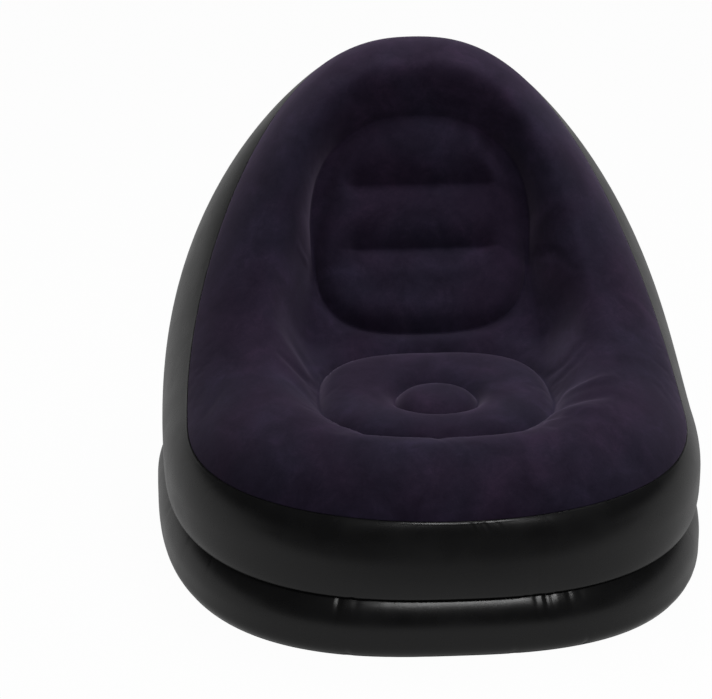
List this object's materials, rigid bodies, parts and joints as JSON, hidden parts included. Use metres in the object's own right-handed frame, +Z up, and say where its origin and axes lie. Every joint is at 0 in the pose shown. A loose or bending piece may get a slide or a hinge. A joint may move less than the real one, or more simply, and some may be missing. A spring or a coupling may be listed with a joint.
{
  "type": "inflatable chair",
  "caption": "Inflatable lounge chair: flocked seat and backrest with welded pillows over a satin PVC wall and base ring, and a plug valve low in the rear.",
  "frame": {"origin": "on the floor, under the middle of the chair's bounding box", "axes": "+Z up, the chair faces -Y, +X is to the right of someone who looks at its front"},
  "size_m": [0.98, 1.1587, 0.8295],
  "materials": {
    "flocked_pvc": "short nap, aubergine, pale at grazing angles",
    "black_pvc": "satin, softly reflecting",
    "inner_pvc": "matt",
    "moulded_pvc": "satin, moulded",
    "flap_pvc": "soft, milky"
  },
  "bodies": {
    "chair": {"flocked_top_skin": "flocked_pvc", "side_wall_skin": "black_pvc", "base_ring_skin": "black_pvc", "bottom_sheet": "black_pvc", "waist_diaphragm": "inner_pvc", "seat_loop_beam": "inner_pvc", "seat_centre_beam": "inner_pvc", "backrest_loop_beam": "inner_pvc", "backrest_rib_beam_lower": "inner_pvc", "backrest_rib_beam_upper": "inner_pvc", "valve_patch": "black_pvc", "valve_seat": "moulded_pvc"},
    "stopper": {"valve_stopper": "moulded_pvc"},
    "cap": {"valve_cap": "moulded_pvc"},
    "flap": {"valve_flap": "flap_pvc"}
  },
  "joints": [
    {"name": "stopper_pull", "type": "slide", "parent": "chair", "child": "stopper", "axis": [0, 1, 0], "range_m": [0, 0.025]},
    {"name": "cap_open", "type": "hinge", "parent": "stopper", "child": "cap", "pos_m": [0, 0.57818, 0.42028], "axis": [1, 0, 0], "range_deg": [0, 150]},
    {"name": "flap_open", "type": "hinge", "parent": "stopper", "child": "flap", "pos_m": [0, 0.55908, 0.41588], "axis": [-1, 0, 0], "range_deg": [0, 50], "stiffness_Nm_per_rad": 0.0005}
  ]
}
